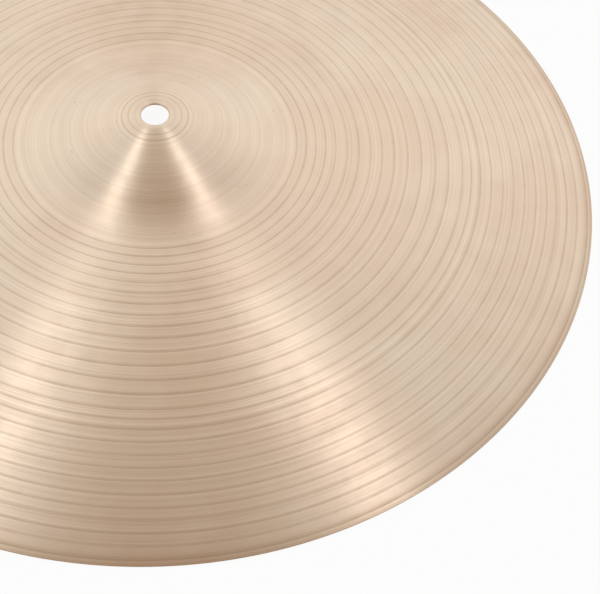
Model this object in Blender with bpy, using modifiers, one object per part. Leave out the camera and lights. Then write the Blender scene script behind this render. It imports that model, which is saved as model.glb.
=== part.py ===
# A suspended cymbal: one plate of cast bronze, rolled, pressed and turned on a lathe.
# Metres, +Z up. The origin is on the cymbal's axis, in the plane that its rim rests on.

import math

import bpy

# Plan sizes
CYMBAL_DIAMETER = 0.4064
BELL_DIAMETER = 0.132
HOLE_DIAMETER = 0.0125
HOLE_CHAMFER = 0.0004
SEAT_DIAMETER = 0.018

# Top line of the bell: a tight crown, a long flank that steepens, and a hollow fillet
CROWN_RADIUS = 0.054
CROWN_ANGLE = math.radians(14.6)
FLANK_TURN = math.radians(7.5)
BELL_FILLET_RADIUS = 0.068

# Top line of the bow: one arc that falls away towards the rim
BOW_START_ANGLE = math.radians(1.7)
BOW_TURN = math.radians(14.7)

# Thickness of the bronze, square to its surface
BELL_THICKNESS = 0.0011
BOW_THICKNESS = 0.0010
EDGE_THICKNESS = 0.0007

# Rim: the flat that touches the table, and its broken corners
REST_LAND = 0.0006
EDGE_BREAK = 0.00015

# Tonal grooves: each is a short steep wall that faces outwards, cut by the lathe tool
FIRST_GROOVE_SETBACK = 0.0022
LAST_GROOVE_MARGIN = 0.0018
GROOVE_WALL = 0.0012
NEAR_BELL_PITCH = 0.00445
SHOULDER_PITCH = 0.0054
WIDE_PITCH = 0.0064
CLOSE_PITCH = 0.0042
OUTER_PITCH = 0.0053
NEAR_EDGE_PITCH = 0.0049
LIGHT_CUT = 0.00006
MEDIUM_CUT = 0.00009
DEEP_CUT = 0.00013

# From the bell outwards: how many grooves follow at each pitch, and how deep they are.
# The last band goes on to the rim.
GROOVE_BANDS = (
    (4, NEAR_BELL_PITCH, MEDIUM_CUT),
    (5, SHOULDER_PITCH, DEEP_CUT),
    (5, WIDE_PITCH, DEEP_CUT),
    (2, CLOSE_PITCH, MEDIUM_CUT),
    (6, OUTER_PITCH, MEDIUM_CUT),
    (1, NEAR_EDGE_PITCH, LIGHT_CUT),
)

# How finely the turned shape is divided
TURN_STEPS = 64
CROWN_STEPS = 2
FLANK_STEPS = 5
FILLET_STEPS = 5
UNDER_BOW_STEPS = 8
SHARP_ANGLE = math.radians(6)

# Pale bronze with a lathed finish
BRONZE_COLOUR = (0.80, 0.65, 0.48, 1.0)
BRONZE_ROUGHNESS = 0.32
BRONZE_ANISOTROPY = 0.6

RIM_RADIUS = CYMBAL_DIAMETER / 2
BELL_RADIUS = BELL_DIAMETER / 2
HOLE_RADIUS = HOLE_DIAMETER / 2
SEAT_RADIUS = SEAT_DIAMETER / 2
REST_RADIUS = RIM_RADIUS - REST_LAND
FLANK_ANGLE = CROWN_ANGLE + FLANK_TURN
EDGE_ANGLE = BOW_START_ANGLE + BOW_TURN


class Arc:
    """A stretch of the top line with one radius of bend, negative where the line is hollow."""

    def __init__(self, inner, drop, angle, bend):
        self.inner = inner
        self.drop = drop
        self.angle = angle
        self.bend = bend

    def angle_at(self, radius):
        """The line's downward slope at a distance from the axis, as an angle."""
        return math.asin(math.sin(self.angle) + (radius - self.inner) / self.bend)

    def drop_at(self, radius):
        """How far the line has fallen below the bell's apex."""
        return self.drop + self.bend * (math.cos(self.angle) - math.cos(self.angle_at(radius)))


def top_line():
    """The four arcs of the top line, each running smoothly into the next."""
    crown_edge = CROWN_RADIUS * math.sin(CROWN_ANGLE)
    fillet_width = BELL_FILLET_RADIUS * (math.sin(FLANK_ANGLE) - math.sin(BOW_START_ANGLE))
    flank_edge = BELL_RADIUS - fillet_width
    flank_bend = (flank_edge - crown_edge) / (math.sin(FLANK_ANGLE) - math.sin(CROWN_ANGLE))
    bow_bend = (RIM_RADIUS - BELL_RADIUS) / (math.sin(EDGE_ANGLE) - math.sin(BOW_START_ANGLE))
    crown = Arc(0.0, 0.0, 0.0, CROWN_RADIUS)
    flank = Arc(crown_edge, crown.drop_at(crown_edge), CROWN_ANGLE, flank_bend)
    fillet = Arc(flank_edge, flank.drop_at(flank_edge), FLANK_ANGLE, -BELL_FILLET_RADIUS)
    bow = Arc(BELL_RADIUS, fillet.drop_at(BELL_RADIUS), BOW_START_ANGLE, bow_bend)
    return crown, flank, fillet, bow


CROWN, FLANK, FILLET, BOW = top_line()


def arc_at(radius):
    """The arc of the top line that holds a distance from the axis."""
    return [arc for arc in (CROWN, FLANK, FILLET, BOW) if radius >= arc.inner][-1]


def thickness(radius):
    """The bronze thins a little over the bell, and steadily from there to the rim."""
    if radius < BELL_RADIUS:
        share = radius / BELL_RADIUS
        return BELL_THICKNESS + (BOW_THICKNESS - BELL_THICKNESS) * share
    share = (radius - BELL_RADIUS) / (RIM_RADIUS - BELL_RADIUS)
    return BOW_THICKNESS + (EDGE_THICKNESS - BOW_THICKNESS) * share


def upright_thickness(radius):
    """The bronze's thickness measured along Z."""
    return thickness(radius) / math.cos(arc_at(radius).angle_at(radius))


APEX_HEIGHT = BOW.drop_at(REST_RADIUS) + upright_thickness(REST_RADIUS)
SEAT_HEIGHT = APEX_HEIGHT - CROWN.drop_at(SEAT_RADIUS)


def top_height(radius):
    """Height of the top surface, before grooves are cut."""
    return APEX_HEIGHT - arc_at(radius).drop_at(radius)


def under_height(radius):
    """Height of the underside, which follows the top surface."""
    return top_height(radius) - upright_thickness(radius)


def spread(start, end, steps):
    """Evenly spaced radii after start, the last one at end."""
    return [start + (end - start) * step / steps for step in range(1, steps + 1)]


def groove_lines():
    """Radius and depth of each tonal groove, from the bell outwards."""
    last_radius = RIM_RADIUS - LAST_GROOVE_MARGIN
    radius = BELL_RADIUS - FIRST_GROOVE_SETBACK
    lines = [(radius, GROOVE_BANDS[0][2])]
    for count, pitch, depth in GROOVE_BANDS[:-1]:
        for _ in range(count):
            radius += pitch
            lines.append((radius, depth))
    pitch, depth = GROOVE_BANDS[-1][1:]
    while radius < last_radius:
        radius += pitch
        lines.append((radius, depth))
    return [line for line in lines if line[0] <= last_radius]


def hole_and_seat_points():
    """From the hole's wall, over its chamfer, to the edge of the flat round the hole."""
    return [
        (HOLE_RADIUS, SEAT_HEIGHT - HOLE_CHAMFER),
        (HOLE_RADIUS + HOLE_CHAMFER, SEAT_HEIGHT),
        (SEAT_RADIUS, SEAT_HEIGHT),
    ]


def bell_radii(outer):
    """Radii at which the bell is drawn, from the flat round the hole to outer."""
    crown = spread(SEAT_RADIUS, FLANK.inner, CROWN_STEPS)
    flank = spread(FLANK.inner, FILLET.inner, FLANK_STEPS)
    fillet = spread(FILLET.inner, outer, FILLET_STEPS)
    return crown + flank + fillet


def top_points():
    """The top surface: smooth over the bell, then a crest and a foot for each groove."""
    lines = groove_lines()
    first_crest = lines[0][0] - GROOVE_WALL / 2
    points = [(radius, top_height(radius)) for radius in bell_radii(first_crest)[:-1]]
    for radius, depth in lines:
        crest = radius - GROOVE_WALL / 2
        foot = radius + GROOVE_WALL / 2
        points.append((crest, top_height(crest)))
        points.append((foot, top_height(foot) - depth))
    return points


def rim_points():
    """Round the rim: its broken upper corner, its wall, and the flat that it rests on."""
    brink = RIM_RADIUS - EDGE_BREAK
    return [
        (brink, top_height(brink)),
        (RIM_RADIUS, top_height(brink) - EDGE_BREAK),
        (RIM_RADIUS, EDGE_BREAK),
        (brink, 0.0),
        (REST_RADIUS, 0.0),
    ]


def under_points():
    """The underside, from the rim back to the hole."""
    bow = spread(BELL_RADIUS, REST_RADIUS, UNDER_BOW_STEPS)[:-1]
    radii = bell_radii(BELL_RADIUS) + bow
    seat = SEAT_HEIGHT - BELL_THICKNESS
    return [(radius, under_height(radius)) for radius in reversed(radii)] + [
        (SEAT_RADIUS, seat),
        (HOLE_RADIUS + HOLE_CHAMFER, seat),
        (HOLE_RADIUS, seat + HOLE_CHAMFER),
    ]


def bronze_material():
    material = bpy.data.materials.new("bronze")
    material.use_nodes = True
    shader = material.node_tree.nodes["Principled BSDF"]
    shader.inputs["Base Color"].default_value = BRONZE_COLOUR
    shader.inputs["Metallic"].default_value = 1.0
    shader.inputs["Roughness"].default_value = BRONZE_ROUGHNESS
    shader.inputs["Anisotropic"].default_value = BRONZE_ANISOTROPY
    return material


def turned(name, points, material, collection):
    """A closed section turned about Z into a solid."""
    section = bpy.data.meshes.new(name + "_section")
    corners = [(radius, 0.0, height) for radius, height in points]
    edges = [(index, (index + 1) % len(points)) for index in range(len(points))]
    section.from_pydata(corners, edges, [])
    piece = bpy.data.objects.new(name, section)
    collection.objects.link(piece)
    turn = piece.modifiers.new("turn", "SCREW")
    turn.axis = "Z"
    turn.angle = math.tau
    turn.steps = TURN_STEPS
    turn.render_steps = TURN_STEPS
    turn.use_merge_vertices = True
    turn.merge_threshold = 0.00001
    bpy.context.view_layer.update()
    evaluated = piece.evaluated_get(bpy.context.evaluated_depsgraph_get())
    solid = bpy.data.meshes.new_from_object(evaluated)
    piece.modifiers.clear()
    piece.data = solid
    solid.name = name
    solid.shade_smooth()
    solid.set_sharp_from_angle(angle=SHARP_ANGLE)
    solid.materials.append(material)
    bpy.data.meshes.remove(section)
    return piece


def build():
    for leftover in list(bpy.data.objects):
        bpy.data.objects.remove(leftover, do_unlink=True)
    collection = bpy.data.collections.new("suspended_cymbal")
    bpy.context.scene.collection.children.link(collection)
    section = hole_and_seat_points() + top_points() + rim_points() + under_points()
    turned("cymbal", section, bronze_material(), collection)


build()
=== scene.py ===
# The look of a suspended cymbal: a lathed bronze plate on a white floor, in soft studio light.
# Metres, +Z up, with the origin on the cymbal's axis in the plane of its rim.

import math
import random

import bpy
from mathutils import Matrix, Vector


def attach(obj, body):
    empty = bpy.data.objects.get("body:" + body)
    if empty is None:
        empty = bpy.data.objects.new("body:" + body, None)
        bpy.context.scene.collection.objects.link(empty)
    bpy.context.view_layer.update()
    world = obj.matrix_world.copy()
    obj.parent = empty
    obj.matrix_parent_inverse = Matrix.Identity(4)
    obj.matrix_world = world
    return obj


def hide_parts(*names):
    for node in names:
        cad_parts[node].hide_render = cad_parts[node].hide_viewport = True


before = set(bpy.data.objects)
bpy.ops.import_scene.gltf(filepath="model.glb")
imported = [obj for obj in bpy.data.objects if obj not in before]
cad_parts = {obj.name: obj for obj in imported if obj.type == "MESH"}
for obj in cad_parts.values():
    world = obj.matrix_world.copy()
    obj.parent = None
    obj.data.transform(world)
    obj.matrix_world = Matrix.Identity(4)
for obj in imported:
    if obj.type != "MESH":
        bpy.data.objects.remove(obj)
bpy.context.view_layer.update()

# The cymbal's section, with the same sizes as the solid
CYMBAL_DIAMETER = 0.4064
BELL_DIAMETER = 0.132
HOLE_DIAMETER = 0.0125
HOLE_CHAMFER = 0.0004
SEAT_DIAMETER = 0.018
CROWN_RADIUS = 0.054
CROWN_ANGLE = math.radians(14.6)
FLANK_TURN = math.radians(7.5)
BELL_FILLET_RADIUS = 0.068
BOW_START_ANGLE = math.radians(1.7)
BOW_TURN = math.radians(14.7)
BELL_THICKNESS = 0.0011
BOW_THICKNESS = 0.0010
EDGE_THICKNESS = 0.0007
REST_LAND = 0.0006
EDGE_BREAK = 0.00015

# Tonal grooves, each a short steep wall that faces outwards
FIRST_GROOVE_SETBACK = 0.0022
LAST_GROOVE_MARGIN = 0.0018
GROOVE_WALL = 0.0012
NEAR_BELL_PITCH = 0.00445
SHOULDER_PITCH = 0.0054
WIDE_PITCH = 0.0064
CLOSE_PITCH = 0.0042
OUTER_PITCH = 0.0053
NEAR_EDGE_PITCH = 0.0049
LIGHT_CUT = 0.00006
MEDIUM_CUT = 0.00009
DEEP_CUT = 0.00013

# From the bell outwards: how many grooves follow at each pitch, and how deep they are.
# The last band goes on to the rim.
GROOVE_BANDS = (
    (4, NEAR_BELL_PITCH, MEDIUM_CUT),
    (5, SHOULDER_PITCH, DEEP_CUT),
    (5, WIDE_PITCH, DEEP_CUT),
    (2, CLOSE_PITCH, MEDIUM_CUT),
    (6, OUTER_PITCH, MEDIUM_CUT),
    (1, NEAR_EDGE_PITCH, LIGHT_CUT),
)

# How far the painted shade reaches past a groove's crest and past its foot
LIP_WIDTH = 0.00035
PAINTED_SHADE_WIDTH = 0.00025

# Fine lathe lines between the grooves, each somewhere near the middle of its share of the width
FINE_PITCH = 0.0016
FINE_WALL = 0.0003
FINE_DEPTH = (0.000010, 0.000030)
FINE_PLACE = (0.35, 0.65)

# The bell and the underside, lathed more plainly, with two scribed lines round the crown
BELL_STEPS = 46
BELL_UNEVENNESS = 0.000010
CROWN_LINES = (0.0118, 0.0146)
CROWN_LINE_WALL = 0.0005
CROWN_LINE_DEPTH = 0.00005
CROWN_LINE_CLEARANCE = 0.001
UNDER_STEPS = 60
UNDER_UNEVENNESS = 0.000020

# How finely the section is turned, and where its shading breaks
TURN_STEPS = 280
SHARP_ANGLE = math.radians(30)
LATHE_SEED = 16

# How strongly painted shade darkens a crest, a groove's foot, the seat's edge and a fine line
CREST_PAINTED_SHADE = 0.1
FOOT_PAINTED_SHADE = 1.0
SEAT_PAINTED_SHADE = 0.5
FINE_LINE_PAINTED_SHADE = 0.3

# Bronze colours, the dark colour of tarnish and painted shade, and how much of both there is at the
# most
PALE_BRONZE = (0.83, 0.69, 0.545, 1.0)
PINK_BRONZE = (0.80, 0.635, 0.495, 1.0)
# The dark colour that both tarnish and the painted shade blend towards
TARNISH_AND_PAINTED_SHADE = (0.42, 0.27, 0.16, 1.0)
# Painted shade in the grooves at the most, and its least share where the mottle makes it uneven
GROOVE_PAINTED_SHADE = 0.34
GROOVE_PAINTED_SHADE_LEAST_SHARE = 0.7
EDGE_TARNISH = 0.30
EDGE_TARNISH_WIDTH = 0.007
# Most darkening by the painted shade and tarnish together
PAINTED_SHADE_AND_TARNISH_LIMIT = 0.8
# Painted shade along the fine lathe rings and along broader rings
RING_PAINTED_SHADE = 0.18
BROAD_RING_PAINTED_SHADE = 0.07

# Noises in the bronze: rings and clouds per metre, and the part of each that is used
RING_SCALE = 900.0
BROAD_RING_SCALE = 230.0
BROAD_RING_RANGE = (0.35, 0.65)
CLOUD_SCALE = 16.0
CLOUD_RANGE = (0.40, 0.62)
MOTTLE_SCALE = 90.0
NOISE_RANGE = (0.3, 0.7)
COARSE_GRAIN = 0.6

# Scuffs on the bell, longer round the axis than across
SCUFFS_PER_RADIAN = 14.0
SCUFFS_PER_METRE = 900.0
SCUFF_RANGE = (0.84, 0.90)
SCUFF_TARNISH = 0.3
SCUFF_PATCH_SCALE = 45.0
SCUFF_PATCH_RANGE = (0.50, 0.60)
SCUFF_ZONE_EDGE = (0.058, 0.062)

# Finish of the bronze
LEAST_ROUGHNESS = 0.275
MOST_ROUGHNESS = 0.335
PAINTED_SHADE_ROUGHNESS = 0.08
SCUFF_ROUGHNESS = 0.15
RING_BUMP_STRENGTH = 0.8
RING_BUMP_DISTANCE = 0.00003
MOTTLE_BUMP_STRENGTH = 0.25
MOTTLE_BUMP_DISTANCE = 0.0001
ANISOTROPY = 0.87
ANISOTROPIC_ROTATION = 0.25

# Camera, as the photograph was taken
CAMERA_DISTANCE = 0.7025
CAMERA_ELEVATION = math.radians(48.504)
CAMERA_YAW = math.radians(5.287)
CAMERA_PITCH = math.radians(5.027)
CAMERA_ROLL = math.radians(1.78)
CAMERA_LENS_MM = 89.7
SENSOR_WIDTH_MM = 36.0
CLIP_START = 0.01
RIM_TOP_HEIGHT = 0.0005

# Strip lights over the cymbal
STRIP_LENGTH = 1.4
STRIP_WIDTH = 0.136
STRIP_HEIGHT = 1.2
STRIP_OFFSET = 0.57
STRIP_SETBACK = -0.192
STRIP_HEADING = math.radians(57.7)
STRIP_WATTS = 0.8

# Floor
WHITE = (1.0, 1.0, 1.0, 1.0)
PAPER = (0.9, 0.9, 0.9, 1.0)
FLOOR_SIZE = 24.0
FLOOR_DROP = 0.0002
FLOOR_GLOW = 0.92

# Studio round the cymbal, by the direction's Y: level at the sides and at the back
SIDE_Y = -0.2
SIDE_LEVEL = 0.67
BACK_Y = 0.7
BACK_LEVEL = 1.068

# The dim warm gap: a wedge that opens towards the camera from where its view is mirrored
GAP_TINT = (1.0, 0.806, 0.643, 1.0)
MIRROR_Y = 0.66
LEAST_AHEAD = 0.05
GAP_EDGE = (0.24, 0.44)
SHALLOW_Y = 0.65
SHALLOW_DEPTH = 0.1
DEEP_Y = -0.4
GAP_DEPTH = 0.34

# Places of the colour sockets on a Mix node
MIX_FACTOR = 0
MIX_FIRST = 6
MIX_SECOND = 7
MIX_RESULT = 2

RIM_RADIUS = CYMBAL_DIAMETER / 2
BELL_RADIUS = BELL_DIAMETER / 2
HOLE_RADIUS = HOLE_DIAMETER / 2
SEAT_RADIUS = SEAT_DIAMETER / 2
REST_RADIUS = RIM_RADIUS - REST_LAND
BRINK_RADIUS = RIM_RADIUS - EDGE_BREAK
FLANK_ANGLE = CROWN_ANGLE + FLANK_TURN
EDGE_ANGLE = BOW_START_ANGLE + BOW_TURN


class Arc:
    """A stretch of the top line with one radius of bend, negative where the line is hollow."""

    def __init__(self, inner, drop, angle, bend):
        self.inner = inner
        self.drop = drop
        self.angle = angle
        self.bend = bend

    def angle_at(self, radius):
        """The line's downward slope at a distance from the axis, as an angle."""
        return math.asin(math.sin(self.angle) + (radius - self.inner) / self.bend)

    def drop_at(self, radius):
        """How far the line has fallen below the bell's apex."""
        return self.drop + self.bend * (math.cos(self.angle) - math.cos(self.angle_at(radius)))


def top_line():
    """The four arcs of the top line, each running smoothly into the next."""
    crown_edge = CROWN_RADIUS * math.sin(CROWN_ANGLE)
    fillet_width = BELL_FILLET_RADIUS * (math.sin(FLANK_ANGLE) - math.sin(BOW_START_ANGLE))
    flank_edge = BELL_RADIUS - fillet_width
    flank_bend = (flank_edge - crown_edge) / (math.sin(FLANK_ANGLE) - math.sin(CROWN_ANGLE))
    bow_bend = (RIM_RADIUS - BELL_RADIUS) / (math.sin(EDGE_ANGLE) - math.sin(BOW_START_ANGLE))
    crown = Arc(0.0, 0.0, 0.0, CROWN_RADIUS)
    flank = Arc(crown_edge, crown.drop_at(crown_edge), CROWN_ANGLE, flank_bend)
    fillet = Arc(flank_edge, flank.drop_at(flank_edge), FLANK_ANGLE, -BELL_FILLET_RADIUS)
    bow = Arc(BELL_RADIUS, fillet.drop_at(BELL_RADIUS), BOW_START_ANGLE, bow_bend)
    return crown, flank, fillet, bow


CROWN, FLANK, FILLET, BOW = top_line()


def arc_at(radius):
    """The arc of the top line that holds a distance from the axis."""
    return [arc for arc in (CROWN, FLANK, FILLET, BOW) if radius >= arc.inner][-1]


def thickness(radius):
    """The bronze thins a little over the bell, and steadily from there to the rim."""
    if radius < BELL_RADIUS:
        share = radius / BELL_RADIUS
        return BELL_THICKNESS + (BOW_THICKNESS - BELL_THICKNESS) * share
    share = (radius - BELL_RADIUS) / (RIM_RADIUS - BELL_RADIUS)
    return BOW_THICKNESS + (EDGE_THICKNESS - BOW_THICKNESS) * share


def upright_thickness(radius):
    """The bronze's thickness measured along Z."""
    return thickness(radius) / math.cos(arc_at(radius).angle_at(radius))


APEX_HEIGHT = BOW.drop_at(REST_RADIUS) + upright_thickness(REST_RADIUS)
SEAT_HEIGHT = APEX_HEIGHT - CROWN.drop_at(SEAT_RADIUS)


def top_height(radius):
    """Height of the top surface, before it is lathed."""
    return APEX_HEIGHT - arc_at(radius).drop_at(radius)


def under_height(radius):
    """Height of the underside, which follows the top surface."""
    return top_height(radius) - upright_thickness(radius)


def spread(start, end, steps):
    """Evenly spaced radii after start, the last one at end."""
    return [start + (end - start) * step / steps for step in range(1, steps + 1)]


def groove_lines():
    """Radius and depth of each tonal groove, from the bell outwards."""
    last_radius = RIM_RADIUS - LAST_GROOVE_MARGIN
    radius = BELL_RADIUS - FIRST_GROOVE_SETBACK
    lines = [(radius, GROOVE_BANDS[0][2])]
    for count, pitch, depth in GROOVE_BANDS[:-1]:
        for _ in range(count):
            radius += pitch
            lines.append((radius, depth))
    pitch, depth = GROOVE_BANDS[-1][1:]
    while radius + pitch < last_radius:
        radius += pitch
        lines.append((radius, depth))
    return lines


def seat_rings():
    """From the hole's wall, over its chamfer, to the edge of the flat round the hole."""
    return [
        (HOLE_RADIUS, SEAT_HEIGHT - HOLE_CHAMFER, FOOT_PAINTED_SHADE),
        (HOLE_RADIUS + HOLE_CHAMFER, SEAT_HEIGHT, 0.0),
        (SEAT_RADIUS - LIP_WIDTH, SEAT_HEIGHT, 0.0),
        (SEAT_RADIUS, SEAT_HEIGHT, SEAT_PAINTED_SHADE),
    ]


def bell_rings(lathe, outer):
    """The top of the bell: faint unevenness, and two clear lines round the crown."""
    rings = []
    for radius in spread(SEAT_RADIUS, outer, BELL_STEPS):
        if min(abs(radius - line) for line in CROWN_LINES) > CROWN_LINE_CLEARANCE:
            rings.append((radius, top_height(radius) - BELL_UNEVENNESS * lathe.random(), 0.0))
    for line in CROWN_LINES:
        crest = line - CROWN_LINE_WALL / 2
        foot = line + CROWN_LINE_WALL / 2
        rings.append((crest - LIP_WIDTH, top_height(crest - LIP_WIDTH), 0.0))
        rings.append((crest, top_height(crest), CREST_PAINTED_SHADE))
        rings.append((foot, top_height(foot) - CROWN_LINE_DEPTH, FOOT_PAINTED_SHADE))
        rings.append((foot + LIP_WIDTH, top_height(foot + LIP_WIDTH), 0.0))
    return sorted(rings)


def land_height(radius, foot, depth, end):
    """Height between a groove's foot and the next crest, to which the surface comes back evenly."""
    return top_height(radius) - depth * (end - radius) / (end - foot)


def bow_rings(lathe, lines):
    """The top of the bow: each groove's crest and foot, then fine lines up to the next crest."""
    rings = []
    ends = [line[0] - GROOVE_WALL / 2 for line in lines[1:]] + [BRINK_RADIUS]
    for (radius, depth), end in zip(lines, ends):
        crest = radius - GROOVE_WALL / 2
        foot = radius + GROOVE_WALL / 2
        land = (foot, depth, end)
        start = foot + PAINTED_SHADE_WIDTH
        stop = end - LIP_WIDTH
        rings.append((crest, top_height(crest), CREST_PAINTED_SHADE))
        rings.append((foot, land_height(foot, *land), FOOT_PAINTED_SHADE))
        rings.append((start, land_height(start, *land), 0.0))
        count = max(1, round((stop - start) / FINE_PITCH))
        for step in range(count):
            place = start + (stop - start) * (step + lathe.uniform(*FINE_PLACE)) / count
            cut = lathe.uniform(*FINE_DEPTH)
            inner = place - FINE_WALL / 2
            outer = place + FINE_WALL / 2
            rings.append((inner, land_height(inner, *land), 0.0))
            rings.append((outer, land_height(outer, *land) - cut, FINE_LINE_PAINTED_SHADE * lathe.random()))
        rings.append((stop, land_height(stop, *land), 0.0))
    return rings


def rim_rings():
    """Round the rim: its broken upper corner, its wall, and the flat that it rests on."""
    return [
        (BRINK_RADIUS, top_height(BRINK_RADIUS), CREST_PAINTED_SHADE),
        (RIM_RADIUS, top_height(BRINK_RADIUS) - EDGE_BREAK, FOOT_PAINTED_SHADE),
        (RIM_RADIUS, EDGE_BREAK, FOOT_PAINTED_SHADE),
        (BRINK_RADIUS, 0.0, FOOT_PAINTED_SHADE),
        (REST_RADIUS, 0.0, CREST_PAINTED_SHADE),
    ]


def under_rings(lathe):
    """The underside, from the rim back to the hole, lathed more plainly."""
    rings = []
    for radius in reversed(spread(SEAT_RADIUS, REST_RADIUS, UNDER_STEPS)[:-1]):
        lift = UNDER_UNEVENNESS * lathe.random()
        rings.append((radius, under_height(radius) + lift, FINE_LINE_PAINTED_SHADE * lathe.random()))
    seat = SEAT_HEIGHT - BELL_THICKNESS
    rings.append((SEAT_RADIUS, seat, SEAT_PAINTED_SHADE))
    rings.append((HOLE_RADIUS + HOLE_CHAMFER, seat, 0.0))
    rings.append((HOLE_RADIUS, seat + HOLE_CHAMFER, FOOT_PAINTED_SHADE))
    return rings


def all_rings():
    """Radius, height and painted shade of every ring, once round the closed section."""
    lathe = random.Random(LATHE_SEED)
    lines = groove_lines()
    first_crest = lines[0][0] - GROOVE_WALL / 2
    bell = bell_rings(lathe, first_crest - LIP_WIDTH)
    bow = bow_rings(lathe, lines)
    return seat_rings() + bell + bow + rim_rings() + under_rings(lathe)


def turned_plate(name):
    """The lathed plate, as rings of quads round Z."""
    rings = all_rings()
    corners = []
    for radius, height, _ in rings:
        for step in range(TURN_STEPS):
            angle = math.tau * step / TURN_STEPS
            corners.append((radius * math.cos(angle), radius * math.sin(angle), height))
    faces = []
    for ring in range(len(rings)):
        here = ring * TURN_STEPS
        there = (ring + 1) % len(rings) * TURN_STEPS
        for step in range(TURN_STEPS):
            beside = (step + 1) % TURN_STEPS
            faces.append((here + step, there + step, there + beside, here + beside))
    mesh = bpy.data.meshes.new(name)
    mesh.from_pydata(corners, [], faces)
    # Each ring's painted shade, a darkening on groove walls, feet, rim and hole, kept on the points
    painted_shade = mesh.attributes.new("painted_shade", "FLOAT", "POINT")
    painted_shade.data.foreach_set("value", [ring[2] for ring in rings for _ in range(TURN_STEPS)])
    mesh.shade_smooth()
    mesh.set_sharp_from_angle(angle=SHARP_ANGLE)
    mesh.validate()
    plate = bpy.data.objects.new(name, mesh)
    bpy.context.scene.collection.objects.link(plate)
    return plate


class Tree:
    """Short ways to add shader nodes to one node tree."""

    def __init__(self, owner):
        owner.use_nodes = True
        self.tree = owner.node_tree
        self.tree.nodes.clear()

    def node(self, kind, **settings):
        made = self.tree.nodes.new(kind)
        for name, value in settings.items():
            setattr(made, name, value)
        return made

    def feed(self, socket, value):
        """Link a value that is a socket, or set one that is a number or a colour."""
        if isinstance(value, bpy.types.NodeSocket):
            self.tree.links.new(value, socket)
        else:
            socket.default_value = value

    def math(self, operation, *values):
        """The result of one sum on sockets or numbers."""
        made = self.node("ShaderNodeMath", operation=operation)
        for socket, value in zip(made.inputs, values):
            self.feed(socket, value)
        return made.outputs[0]

    def ramp(self, value, low, high, to_low=0.0, to_high=1.0, smooth=True):
        """A value that goes from to_low to to_high while the given one goes from low to high."""
        kind = "SMOOTHSTEP" if smooth else "LINEAR"
        made = self.node("ShaderNodeMapRange", interpolation_type=kind)
        names = ("Value", "From Min", "From Max", "To Min", "To Max")
        for name, number in zip(names, (value, low, high, to_low, to_high)):
            self.feed(made.inputs[name], number)
        return made.outputs[0]

    def blend(self, factor, first, second):
        """A colour between two others."""
        made = self.node("ShaderNodeMix", data_type="RGBA")
        self.feed(made.inputs[MIX_FACTOR], factor)
        self.feed(made.inputs[MIX_FIRST], first)
        self.feed(made.inputs[MIX_SECOND], second)
        return made.outputs[MIX_RESULT]

    def noise(self, dimensions, place, scale, detail, roughness=0.5):
        made = self.node("ShaderNodeTexNoise", noise_dimensions=dimensions)
        self.feed(made.inputs["W" if dimensions == "1D" else "Vector"], place)
        self.feed(made.inputs["Scale"], scale)
        self.feed(made.inputs["Detail"], detail)
        self.feed(made.inputs["Roughness"], roughness)
        return made.outputs[0]

    def bump(self, height, strength, distance):
        made = self.node("ShaderNodeBump")
        self.feed(made.inputs["Strength"], strength)
        self.feed(made.inputs["Distance"], distance)
        self.feed(made.inputs["Height"], height)
        return made

    def mix_shaders(self, factor, first, second):
        made = self.node("ShaderNodeMixShader")
        for socket, value in zip(made.inputs, (factor, first.outputs[0], second.outputs[0])):
            self.feed(socket, value)
        return made

    def finish(self, kind, shader):
        """End the tree with an output node of the given kind."""
        self.feed(self.node(kind).inputs["Surface"], shader.outputs[0])


def distance_from_axis(tree, place):
    """How far a point is from Z, as a socket."""
    flat = tree.node("ShaderNodeVectorMath", operation="MULTIPLY")
    tree.feed(flat.inputs[0], place)
    tree.feed(flat.inputs[1], (1.0, 1.0, 0.0))
    length = tree.node("ShaderNodeVectorMath", operation="LENGTH")
    tree.feed(length.inputs[0], flat.outputs[0])
    return length.outputs["Value"]


def bell_scuffs(tree, place, radius):
    """Short scuffs along the rings, in patches, only on the bell."""
    split = tree.node("ShaderNodeSeparateXYZ")
    tree.feed(split.inputs[0], place)
    angle = tree.math("ARCTAN2", split.outputs["Y"], split.outputs["X"])
    around = tree.node("ShaderNodeCombineXYZ")
    tree.feed(around.inputs[0], tree.math("MULTIPLY", angle, SCUFFS_PER_RADIAN))
    tree.feed(around.inputs[1], tree.math("MULTIPLY", radius, SCUFFS_PER_METRE))
    streaks = tree.noise("2D", around.outputs[0], 1.0, 0.0)
    scuffs = tree.ramp(streaks, *SCUFF_RANGE, 0.0, SCUFF_TARNISH)
    on_bell = tree.ramp(radius, *SCUFF_ZONE_EDGE, 1.0, 0.0)
    patches = tree.ramp(tree.noise("3D", place, SCUFF_PATCH_SCALE, 0.0), *SCUFF_PATCH_RANGE)
    return tree.math("MULTIPLY", tree.math("MULTIPLY", scuffs, on_bell), patches)


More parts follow.
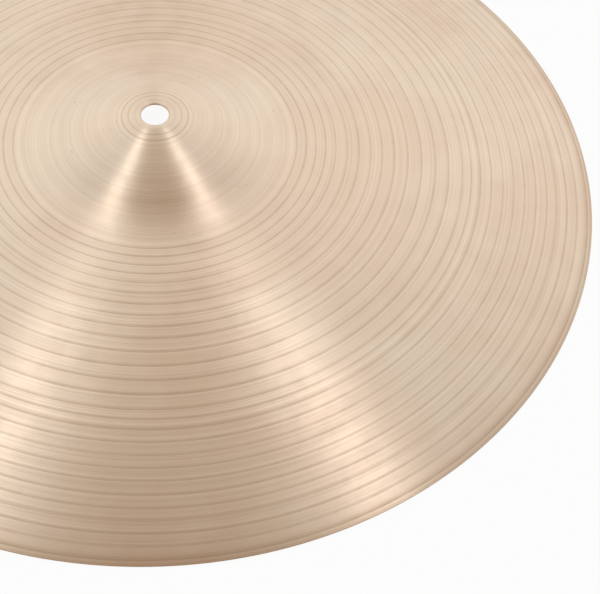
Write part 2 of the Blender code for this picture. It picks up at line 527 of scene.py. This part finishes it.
def tarnish_and_painted_shade_amount(tree, radius, rings, mottle, painted_shade, scuffs):
    """Tarnish gathers towards the rim and in the scuffs; painted shade darkens the grooves,
    unevenly, and faintly the rings.
    """
    # Painted shade in the grooves, made uneven by the mottle
    uneven = tree.ramp(mottle, *NOISE_RANGE, GROOVE_PAINTED_SHADE_LEAST_SHARE, 1.0)
    painted_groove_shade = tree.math("MULTIPLY", tree.math("MULTIPLY", painted_shade, GROOVE_PAINTED_SHADE), uneven)
    edge_start = RIM_RADIUS - EDGE_TARNISH_WIDTH
    at_edge = tree.ramp(radius, edge_start, RIM_RADIUS, 0.0, EDGE_TARNISH)
    tarnish_and_painted_shade = tree.math("ADD", tree.math("ADD", painted_groove_shade, at_edge), scuffs)
    tarnish_and_painted_shade = tree.math("MINIMUM", tarnish_and_painted_shade, PAINTED_SHADE_AND_TARNISH_LIMIT)
    broad_rings = tree.noise("1D", radius, BROAD_RING_SCALE, 2.0)
    # Painted shade of the lathe rings, fine and broad
    ring_shade = tree.ramp(rings, *NOISE_RANGE, 0.0, RING_PAINTED_SHADE, smooth=False)
    broad_shade = tree.ramp(broad_rings, *BROAD_RING_RANGE, 0.0, BROAD_RING_PAINTED_SHADE, smooth=False)
    return tree.math("ADD", tarnish_and_painted_shade, tree.math("ADD", ring_shade, broad_shade))


def bronze_material():
    """Lathed bronze: rings that brush the light, painted shade in the grooves and along the rings,
    faint pink clouds.
    """
    material = bpy.data.materials.new("lathed_bronze")
    tree = Tree(material)
    place = tree.node("ShaderNodeTexCoord").outputs["Object"]
    radius = distance_from_axis(tree, place)
    rings = tree.noise("1D", radius, RING_SCALE, 4.0, COARSE_GRAIN)
    clouds = tree.noise("3D", place, CLOUD_SCALE, 3.0)
    mottle = tree.noise("3D", place, MOTTLE_SCALE, 5.0, COARSE_GRAIN)
    painted_shade = tree.node("ShaderNodeAttribute", attribute_name="painted_shade").outputs["Fac"]
    scuffs = bell_scuffs(tree, place, radius)

    # Tarnish towards the rim and in the scuffs, with painted shade in the grooves and along the
    # rings
    tarnish_and_painted_shade = tarnish_and_painted_shade_amount(tree, radius, rings, mottle, painted_shade, scuffs)
    bronze = tree.blend(tree.ramp(clouds, *CLOUD_RANGE), PALE_BRONZE, PINK_BRONZE)
    colour = tree.blend(tarnish_and_painted_shade, bronze, TARNISH_AND_PAINTED_SHADE)

    roughness = tree.ramp(mottle, *NOISE_RANGE, LEAST_ROUGHNESS, MOST_ROUGHNESS)
    # Rougher where the painted shade lies
    roughness = tree.math("ADD", roughness, tree.math("MULTIPLY", painted_shade, PAINTED_SHADE_ROUGHNESS))
    roughness = tree.math("ADD", roughness, tree.math("MULTIPLY", scuffs, SCUFF_ROUGHNESS))

    ring_bump = tree.bump(rings, RING_BUMP_STRENGTH, RING_BUMP_DISTANCE)
    bump = tree.bump(mottle, MOTTLE_BUMP_STRENGTH, MOTTLE_BUMP_DISTANCE)
    tree.feed(bump.inputs["Normal"], ring_bump.outputs[0])

    shader = tree.node("ShaderNodeBsdfPrincipled")
    tree.feed(shader.inputs["Base Color"], colour)
    shader.inputs["Metallic"].default_value = 1.0
    tree.feed(shader.inputs["Roughness"], roughness)
    shader.inputs["Anisotropic"].default_value = ANISOTROPY
    shader.inputs["Anisotropic Rotation"].default_value = ANISOTROPIC_ROTATION
    round_axis = tree.node("ShaderNodeTangent", direction_type="RADIAL", axis="Z")
    tree.feed(shader.inputs["Tangent"], round_axis.outputs[0])
    tree.feed(shader.inputs["Normal"], bump.outputs[0])
    tree.finish("ShaderNodeOutputMaterial", shader)
    return material


def camera_axes(facing):
    """The camera's own axes, aimed along facing and then turned by its yaw, pitch and roll."""
    right = Vector((1.0, 0.0, 0.0))
    level = Matrix((right, facing.cross(right), facing))
    yaw_cos, yaw_sin = math.cos(CAMERA_YAW), math.sin(CAMERA_YAW)
    pitch_cos, pitch_sin = math.cos(CAMERA_PITCH), math.sin(CAMERA_PITCH)
    roll_cos, roll_sin = math.cos(CAMERA_ROLL), math.sin(CAMERA_ROLL)
    yaw = Matrix(((yaw_cos, 0, -yaw_sin), (0, 1, 0), (yaw_sin, 0, yaw_cos)))
    pitch = Matrix(((1, 0, 0), (0, pitch_cos, -pitch_sin), (0, pitch_sin, pitch_cos)))
    roll = Matrix(((roll_cos, roll_sin, 0), (-roll_sin, roll_cos, 0), (0, 0, 1)))
    turned = roll @ pitch @ yaw @ level
    return Matrix((turned[0], -turned[1], -turned[2])).transposed()


def add_camera():
    """A camera raised in front of the cymbal, turned a little off its axis."""
    facing = Vector((0.0, math.cos(CAMERA_ELEVATION), -math.sin(CAMERA_ELEVATION)))
    data = bpy.data.cameras.new("camera")
    data.lens = CAMERA_LENS_MM
    data.sensor_width = SENSOR_WIDTH_MM
    data.sensor_fit = "HORIZONTAL"
    data.clip_start = CLIP_START
    camera = bpy.data.objects.new("camera", data)
    place = Matrix.Translation(Vector((0, 0, RIM_TOP_HEIGHT)) - CAMERA_DISTANCE * facing)
    camera.matrix_world = place @ camera_axes(facing).to_4x4()
    bpy.context.scene.collection.objects.link(camera)
    bpy.context.scene.camera = camera


def add_strip_lights():
    """Two long soft strips overhead, left and right, that draw the two bright rays."""
    for name, side in (("left_strip", -1.0), ("right_strip", 1.0)):
        data = bpy.data.lights.new(name, "AREA")
        data.shape = "RECTANGLE"
        data.size = STRIP_LENGTH
        data.size_y = STRIP_WIDTH
        data.energy = STRIP_WATTS
        strip = bpy.data.objects.new(name, data)
        strip.location = (side * STRIP_OFFSET, STRIP_SETBACK, STRIP_HEIGHT)
        strip.rotation_euler = (0.0, 0.0, -side * STRIP_HEADING)
        bpy.context.scene.collection.objects.link(strip)


def add_world():
    """A pale studio, brightest behind the cymbal, with a dim warm gap between the strips."""
    world = bpy.data.worlds.new("studio")
    bpy.context.scene.world = world
    tree = Tree(world)
    split = tree.node("ShaderNodeSeparateXYZ")
    tree.feed(split.inputs[0], tree.node("ShaderNodeTexCoord").outputs["Generated"])
    across = tree.math("ABSOLUTE", split.outputs["X"])
    along = split.outputs["Y"]
    level = tree.ramp(along, SIDE_Y, BACK_Y, SIDE_LEVEL, BACK_LEVEL)
    ahead = tree.math("MAXIMUM", tree.math("SUBTRACT", MIRROR_Y, along), LEAST_AHEAD)
    between = tree.ramp(tree.math("DIVIDE", across, ahead), *GAP_EDGE, 1.0, 0.0)
    depth = tree.ramp(along, SHALLOW_Y, DEEP_Y, SHALLOW_DEPTH, GAP_DEPTH, smooth=False)
    gap = tree.math("MULTIPLY", between, depth)
    studio = tree.node("ShaderNodeBackground")
    tint = tree.blend(tree.math("DIVIDE", gap, GAP_DEPTH), WHITE, GAP_TINT)
    tree.feed(studio.inputs["Color"], tint)
    strength = tree.math("MULTIPLY", level, tree.math("SUBTRACT", 1.0, gap))
    tree.feed(studio.inputs["Strength"], strength)
    backdrop = tree.node("ShaderNodeBackground")
    backdrop.inputs["Color"].default_value = WHITE
    rays = tree.node("ShaderNodeLightPath").outputs
    seen = tree.math("MAXIMUM", rays["Is Camera Ray"], rays["Is Transmission Ray"])
    tree.finish("ShaderNodeOutputWorld", tree.mix_shaders(seen, studio, backdrop))


def floor_material():
    """White paper that looks white, and still takes the cymbal's soft shadow."""
    material = bpy.data.materials.new("white_floor")
    tree = Tree(material)
    paper = tree.node("ShaderNodeBsdfDiffuse")
    paper.inputs["Color"].default_value = PAPER
    glow = tree.node("ShaderNodeEmission")
    rays = tree.node("ShaderNodeLightPath").outputs
    seen = tree.math("MAXIMUM", rays["Is Camera Ray"], rays["Is Glossy Ray"])
    seen = tree.math("MAXIMUM", seen, rays["Is Transmission Ray"])
    share = tree.math("MULTIPLY", seen, FLOOR_GLOW)
    tree.finish("ShaderNodeOutputMaterial", tree.mix_shaders(share, paper, glow))
    return material


def add_floor():
    """A wide square floor just under the rim."""
    half = FLOOR_SIZE / 2
    outline = ((-half, -half), (half, -half), (half, half), (-half, half))
    mesh = bpy.data.meshes.new("floor")
    mesh.from_pydata([(x, y, -FLOOR_DROP) for x, y in outline], [], [(0, 1, 2, 3)])
    floor = bpy.data.objects.new("floor", mesh)
    mesh.materials.append(floor_material())
    bpy.context.scene.collection.objects.link(floor)


def build():
    add_camera()
    plate = turned_plate("lathed_plate")
    plate.data.materials.append(bronze_material())
    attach(plate, "root")
    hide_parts("cymbal")
    add_strip_lights()
    add_world()
    add_floor()
    bpy.context.scene.view_settings.view_transform = "Standard"


build()
